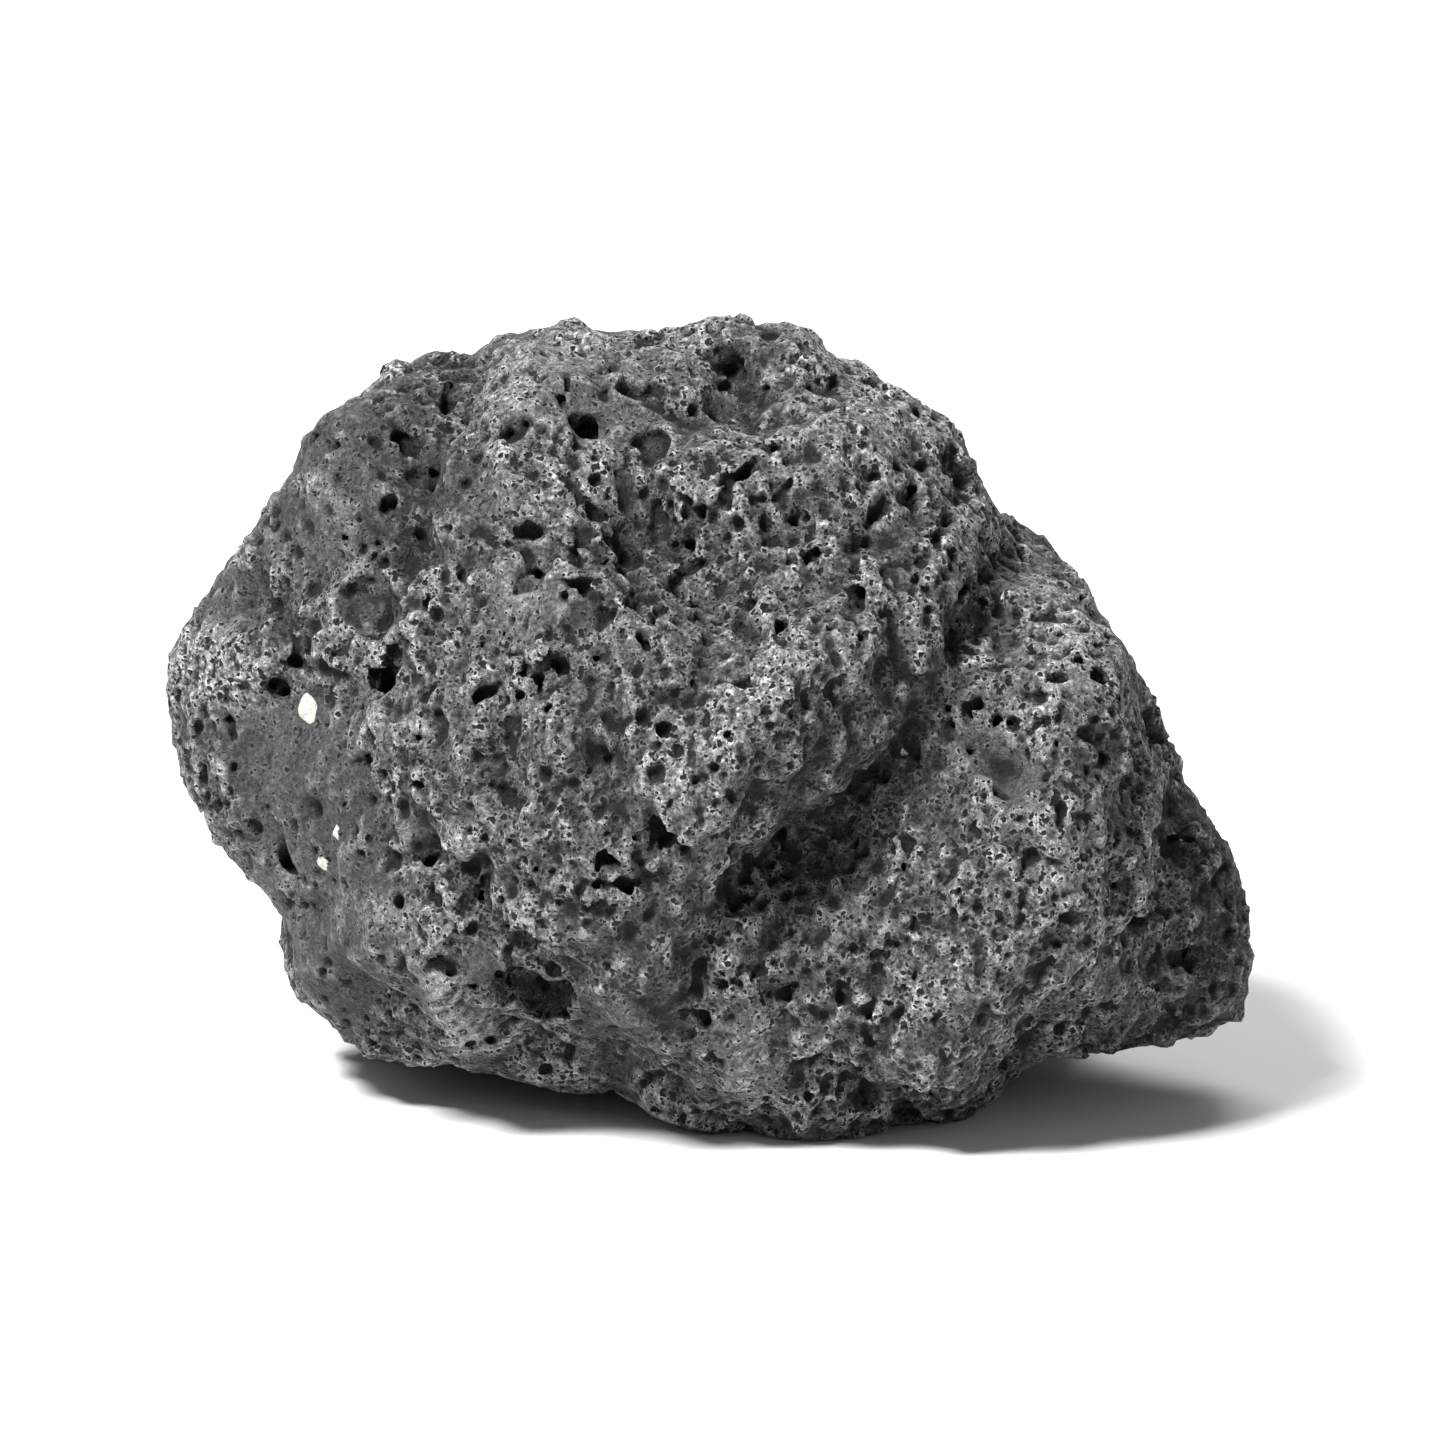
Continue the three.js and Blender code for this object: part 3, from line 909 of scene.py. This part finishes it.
def stoneFinish():
    make = NodeMaker("lava stone")
    place = make.add("TexCoord").outputs["Object"]
    edge = make.value("edge")
    smooth = make.span(make.value("bubbly"), *finish["smooth"])
    paintedShadeGrey = grey(*finish["paintedShadeGrey"])

    def noise(size, detail, rough=0.55, output="Fac"):
        node = make.add("TexNoise", {"noise_dimensions": "3D"}, _0=place)
        node.inputs["Scale"].default_value = 1 / (size * mm)
        node.inputs["Detail"].default_value = detail
        node.inputs["Roughness"].default_value = rough
        return node.outputs[output]

    def patches(name):
        sizes, span = finish[name]
        return make.span(noise(*sizes), *span)

    def eased(value, share):
        # the smooth places keep this share
        return make.math("MULTIPLY", value, make.span(smooth, 0, 1, 1, share))

    # the plain stone, dustier in some patches, with a painted highlight on its crests, and lighter in
    # its pale places, which are partly white bloom and partly painted highlights
    colour = make.mix(patches("dust"), grey(*finish["plain"]), grey(*finish["dusty"]))
    colour = make.mix(make.span(edge, *finish["crestHighlight"]), colour, grey(*finish["crest"]))
    # white bloom and painted highlights
    bloomAndHighlight = make.math("MULTIPLY", make.value("pale"), patches("bloomGrain"))
    bloomAndHighlight = make.math("MULTIPLY", bloomAndHighlight, patches("bloomPatches"))
    colour = make.mix(bloomAndHighlight, colour, grey(*finish["pale"]))

    # how light the grain leaves it, and how much the painted shade of the listed places darkens it
    shade = patches("grain")
    even = make.math("MULTIPLY", smooth, finish["smoothEven"])
    toEven = make.math("SUBTRACT", finish["smoothShade"], shade)
    shade = make.math("MULTIPLY_ADD", even, toEven, shade)
    paintedShadeMottle = make.math("MULTIPLY", make.value("paintedShadeAmount"), patches("paintedShadeMottle"))
    shade = make.math("MULTIPLY", shade, make.math("MULTIPLY_ADD", paintedShadeMottle, -1.0, 1.0))

    # small pores, with painted shade inside them and painted highlights on their rims
    size, detail, reach = finish["warp"]
    wander = noise(size, detail, output="Color")
    wander = make.add("VectorMath", {"operation": "SUBTRACT"}, _0=wander, _1=(0.5, 0.5, 0.5))
    wander = make.add("VectorMath", {"operation": "SCALE"}, _0=wander.outputs[0], _3=2 * reach * mm)
    warped = make.add("VectorMath", {"operation": "ADD"}, _0=place, _1=wander.outputs[0]).outputs[0]
    crowding = eased(patches("crowding"), finish["smoothPores"])
    span, rise = finish["grainHeight"]
    height = make.math("MULTIPLY", make.span(noise(*finish["grain"][0]), *span), rise * mm)
    holes = 0.0
    rims = 0.0
    for pores in finish["pores"]:
        cells = make.add("TexVoronoi", {"feature": "F1"}, _0=warped)
        cells.inputs["Scale"].default_value = 1 / (pores["cell"] * mm)
        random = make.add("SeparateColor", None, _0=cells.outputs["Color"]).outputs[0]
        radius = make.span(random, 0.0, 1.0, pores["least"], pores["most"])
        radius = make.math("MULTIPLY", radius, crowding)
        away = make.math("DIVIDE", cells.outputs["Distance"], radius)
        holes = make.math("MAXIMUM", holes, make.span(away, *finish["poreEdge"]))
        strength = make.span(random, *finish["rimHighlightStrength"])
        highlightRing = make.math("MULTIPLY", make.span(away, *finish["poreRimHighlight"]), strength)
        rims = make.math("MAXIMUM", rims, highlightRing)
        bowl = make.math("MULTIPLY", make.span(away, *finish["poreBowl"]), pores["depth"] * mm)
        height = make.math("SUBTRACT", height, bowl)
    rims = eased(rims, finish["smoothRimHighlights"])
    shade = make.math("MULTIPLY", shade, make.math("MULTIPLY_ADD", rims, finish["rimHighlightGain"], 1.0))
    colour = make.add("VectorMath", {"operation": "SCALE"}, _0=colour, _3=shade).outputs[0]
    # painted shade inside the small pores
    colour = make.mix(holes, colour, paintedShadeGrey)

    # painted shade: darker in hollows, deep holes and caves
    dent = make.math("MULTIPLY_ADD", smooth, finish["smoothHollows"], edge)
    colour = make.mix(make.span(dent, *finish["hollowShade"]), colour, paintedShadeGrey)
    sunk = make.span(make.value("sunk"), *finish["holeShade"])
    colour = make.mix(eased(sunk, finish["smoothHoles"]), colour, paintedShadeGrey)
    cave = make.span(make.value("open"), *finish["caveShade"])
    colour = make.mix(eased(cave, finish["smoothCaves"]), colour, paintedShadeGrey)

    # the white grains
    white = make.span(make.value("white"), *finish["onFlecks"])
    cream = make.add("VectorMath", {"operation": "SCALE"}, _0=finish["fleck"], _3=patches("speck"))
    colour = make.mix(white, colour, cream.outputs[0])

    bump = make.add("Bump")
    bump.inputs["Strength"].default_value = 1.0
    bump.inputs["Distance"].default_value = 1.0
    make.plug(bump.inputs["Height"], height)
    make.plug(make.shader.inputs["Normal"], bump.outputs["Normal"])
    make.plug(make.shader.inputs["Base Color"], colour)
    make.shader.inputs["Roughness"].default_value = finish["roughness"]
    make.shader.inputs["Specular IOR Level"].default_value = finish["gloss"]
    report("finish made")
    return make.material


# Floor, light and camera

studio = {
    "floorSize": 8.0,  # metres
    "floorColour": (0.86, 0.86, 0.86, 1.0),
    "floorRoughness": 0.9,
    "skyStrength": 0.19,
    "lampAim": (0, 0, 0.05),
    "lamps": (  # place, size and watts
        {"name": "key", "at": (-0.8, -0.72, 1.55), "size": 0.4, "watts": 66},
        {"name": "fill", "at": (1.1, -0.9, 0.6), "size": 0.9, "watts": 1},
        {"name": "back", "at": (0.1, 1.0, 1.2), "size": 0.9, "watts": 16},
    ),
}


def makeFloor():
    half = studio["floorSize"] / 2
    mesh = bpy.data.meshes.new("floor")
    corners = [(-half, -half, 0), (half, -half, 0), (half, half, 0), (-half, half, 0)]
    mesh.from_pydata(corners, [], [(0, 1, 2, 3)])
    floor = bpy.data.objects.new("floor", mesh)
    bpy.context.scene.collection.objects.link(floor)
    make = NodeMaker("pale floor")
    make.shader.inputs["Base Color"].default_value = studio["floorColour"]
    make.shader.inputs["Roughness"].default_value = studio["floorRoughness"]
    mesh.materials.append(make.material)


def makeLamps():
    world = bpy.data.worlds.new("studio")
    bpy.context.scene.world = world
    world.use_nodes = True
    sky = world.node_tree.nodes["Background"]
    sky.inputs["Color"].default_value = (1, 1, 1, 1)
    sky.inputs["Strength"].default_value = studio["skyStrength"]
    for lamp in studio["lamps"]:
        light = bpy.data.lights.new(lamp["name"], "AREA")
        light.size = lamp["size"]
        light.energy = lamp["watts"]
        holder = bpy.data.objects.new(lamp["name"], light)
        bpy.context.scene.collection.objects.link(holder)
        holder.location = lamp["at"]
        toStone = Vector(studio["lampAim"]) - holder.location
        holder.rotation_euler = toStone.to_track_quat("-Z", "Y").to_euler()


view = {
    "distance": 2.0,  # metres
    "elevation": 13.0,  # degrees
    "across": 224.0,  # millimetres that the picture is wide
    "aim": (1.0, -1.2),  # on the front, from the heart
    "sensor": 36.0,
    "farthest": 50,  # metres
}


def makeCamera():
    camera = bpy.data.cameras.new("camera")
    camera.sensor_width = view["sensor"]
    camera.lens = view["sensor"] * view["distance"] / (view["across"] * mm)
    camera.clip_end = view["farthest"]
    holder = bpy.data.objects.new("camera", camera)
    bpy.context.scene.collection.objects.link(holder)
    right, up = view["aim"]
    aim = Vector((heart + right * frontRight + up * frontUp) * mm)
    high = math.radians(view["elevation"])
    back = Vector((0, -math.cos(high), math.sin(high)))
    holder.location = aim + back * view["distance"]
    holder.rotation_euler = (-back).to_track_quat("-Z", "Y").to_euler()
    bpy.context.scene.camera = holder


bpy.context.scene.view_settings.view_transform = "Standard"
makeCamera()
makeFloor()
makeLamps()
report("studio ready")

lavaStone = makeStone()
lavaStone.data.materials.clear()
lavaStone.data.materials.append(stoneFinish())
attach(lavaStone, "root")
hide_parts(stone["node"])
report("stone ready")
